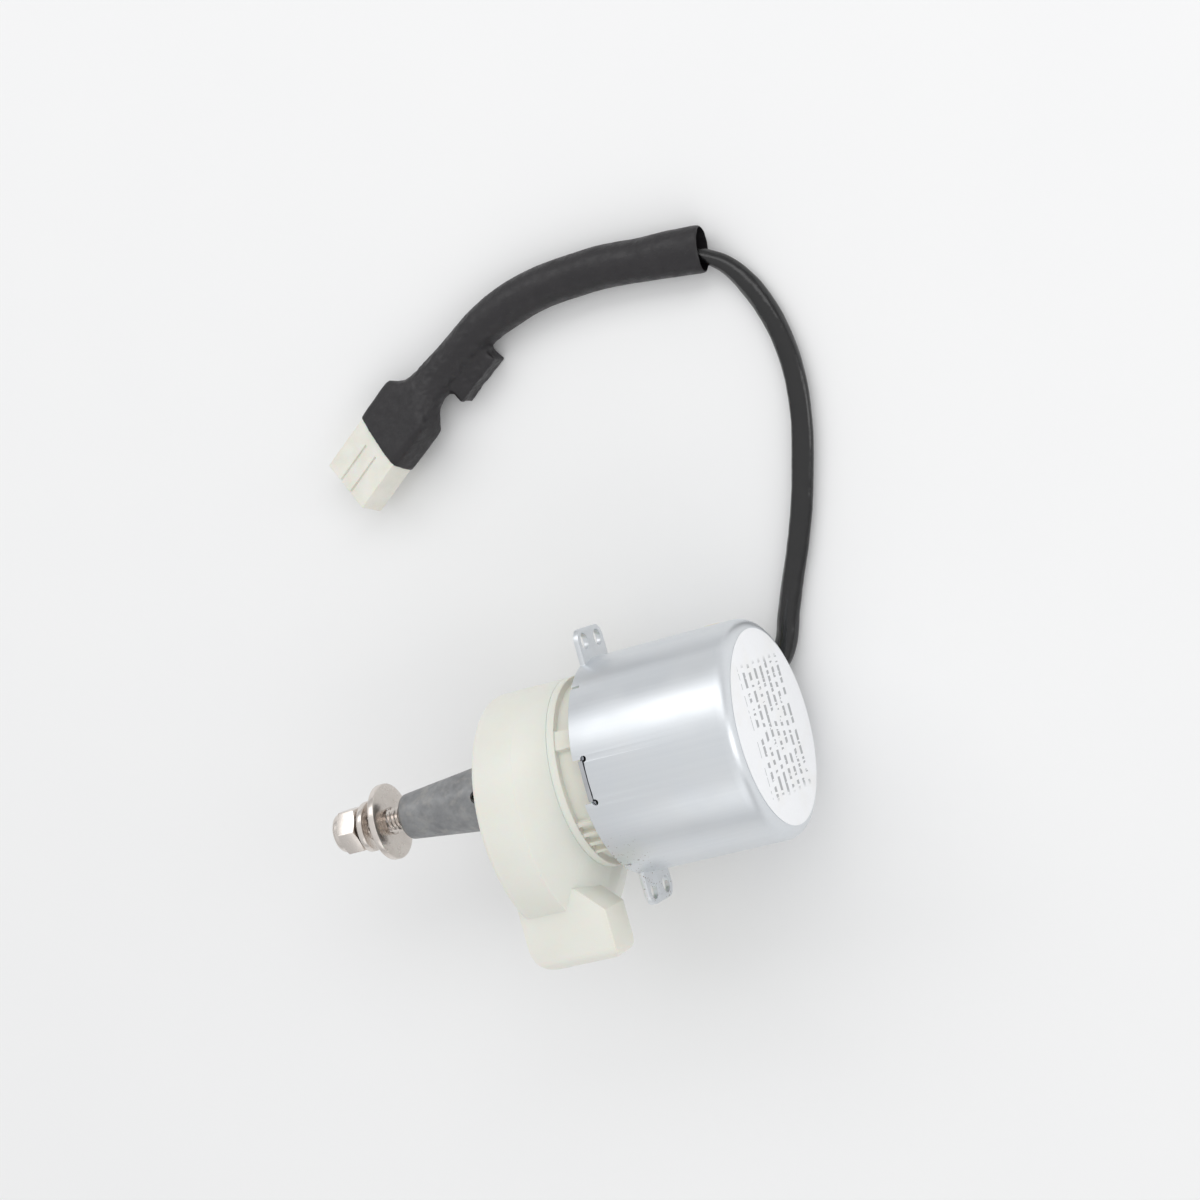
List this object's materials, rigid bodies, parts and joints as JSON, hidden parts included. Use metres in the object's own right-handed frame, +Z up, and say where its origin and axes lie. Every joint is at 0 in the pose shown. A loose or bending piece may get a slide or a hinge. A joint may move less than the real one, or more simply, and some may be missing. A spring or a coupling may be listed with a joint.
{
  "type": "geared synchronous motor",
  "caption": "Geared synchronous motor with an ivory output housing, a pinned taper spindle with clamping hardware, and a short lead with a capacitor and connector.",
  "frame": {"origin": "on the motor axis, in the plane of the can's open rim, which is the mounting plane of the two ears", "axes": "+X along the motor axis towards the spindle tip, +Z up as the motor lies on its side, +Y towards the lug on the housing"},
  "size_m": [0.1329, 0.1557, 0.0556],
  "materials": {
    "zinc_can": "bright zinc plate on drawn sheet",
    "label_paper": "blank white paper label",
    "plate_steel": "zinc-plated sheet",
    "pin_steel": "ground steel",
    "bronze": "sintered bronze",
    "claw_iron": "grey passivated iron",
    "bobbin_nylon": "moulded nylon",
    "copper_wire": "enamelled copper",
    "ferrite": "sintered ferrite",
    "gear_plastic": "moulded acetal",
    "gear_steel": "sintered steel",
    "brass": "turned brass",
    "ivory_nylon": "translucent natural nylon",
    "die_cast": "dull grey zinc die casting",
    "dark_steel": "blackened spring steel",
    "stainless": "stainless steel",
    "nut_nylon": "nylon ring",
    "black_pvc": "glossy black PVC",
    "black_shrink": "satin black heat-shrink",
    "capacitor_case": "plastic case",
    "white_nylon": "natural nylon",
    "terminal_metal": "tinned brass"
  },
  "bodies": {
    "motor_frame": {"motor_can": "zinc_can", "label_disc": "label_paper", "front_plate": "plate_steel", "gear_plate": "plate_steel", "plate_posts": "pin_steel", "gear_pins": "pin_steel", "output_bush": "bronze", "stator_claw_rear": "claw_iron", "stator_claw_middle_rear": "claw_iron", "stator_claw_middle_front": "claw_iron", "stator_claw_front": "claw_iron", "bobbin_rear": "bobbin_nylon", "bobbin_front": "bobbin_nylon", "winding_rear": "copper_wire", "winding_front": "copper_wire", "rotor_bush_rear": "bronze", "rotor_bush_front": "bronze", "housing_back": "ivory_nylon", "housing_front": "ivory_nylon", "housing_screws": "plate_steel", "spindle_bush": "bobbin_nylon", "lead_cap": "ivory_nylon", "lead_sleeve": "black_pvc", "heat_shrink": "black_shrink", "capacitor": "capacitor_case", "connector_body": "white_nylon", "connector_terminals": "terminal_metal"},
    "output": {"output_gear": "gear_steel", "output_shaft": "pin_steel", "spindle": "die_cast", "roll_pin": "dark_steel", "stud": "stainless", "flat_washer": "stainless", "spring_washer": "stainless", "lock_nut": "stainless", "nut_ring": "nut_nylon"},
    "third_gear": {"gear_third": "gear_steel"},
    "second_gear": {"gear_second": "gear_plastic"},
    "first_gear": {"gear_first": "gear_plastic"},
    "rotor": {"rotor_magnet": "ferrite", "rotor_hub": "bobbin_nylon", "rotor_shaft": "pin_steel", "rotor_pinion": "brass"}
  },
  "joints": [
    {"name": "rotor_spin", "type": "hinge", "parent": "motor_frame", "child": "rotor", "pos_m": [-0.026, 0, 0], "axis": [1, 0, 0], "continuous": true},
    {"name": "first_gear_spin", "type": "hinge", "parent": "motor_frame", "child": "first_gear", "pos_m": [-0.012, 0.012, 0], "axis": [1, 0, 0], "continuous": true},
    {"name": "second_gear_spin", "type": "hinge", "parent": "motor_frame", "child": "second_gear", "pos_m": [-0.009, 0.00636, 0.01076], "axis": [1, 0, 0], "continuous": true},
    {"name": "third_gear_spin", "type": "hinge", "parent": "motor_frame", "child": "third_gear", "pos_m": [-0.006, -0.00514, 0.01144], "axis": [1, 0, 0], "continuous": true},
    {"name": "output_spin", "type": "hinge", "parent": "motor_frame", "child": "output", "pos_m": [0, 0, 0], "axis": [1, 0, 0], "continuous": true}
  ],
  "couplings": [
    {"joint": "first_gear_spin", "follows": "rotor_spin", "ratio": -0.25},
    {"joint": "second_gear_spin", "follows": "rotor_spin", "ratio": 0.056818},
    {"joint": "third_gear_spin", "follows": "rotor_spin", "ratio": -0.014952},
    {"joint": "output_spin", "follows": "rotor_spin", "ratio": 0.0053401}
  ]
}
